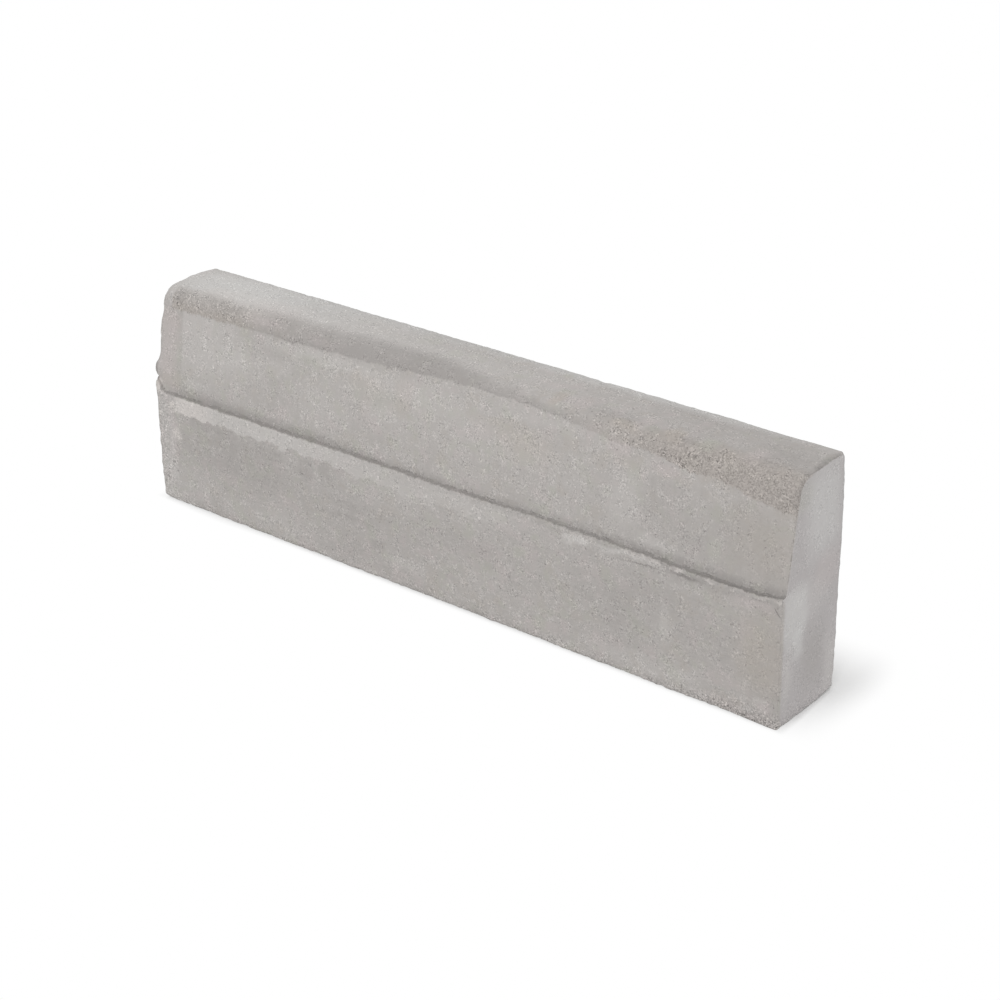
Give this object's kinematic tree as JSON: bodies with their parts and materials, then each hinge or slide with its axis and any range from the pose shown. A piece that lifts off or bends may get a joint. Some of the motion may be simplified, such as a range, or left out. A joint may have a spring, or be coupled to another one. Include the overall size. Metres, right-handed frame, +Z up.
{
  "type": "kerb stone",
  "caption": "Straight concrete kerb stone with a battered road face above a narrow ledge, a rounded nose and a flat top.",
  "frame": {"origin": "middle of the base, on the surface that the stone stands on", "axes": "+X along the kerb, -Y towards the road and +Y towards the footway, +Z up"},
  "size_m": [1, 0.12, 0.3],
  "materials": {
    "cast_concrete": "matte"
  },
  "bodies": {
    "root": {"kerb_stone": "cast_concrete"}
  },
  "joints": []
}
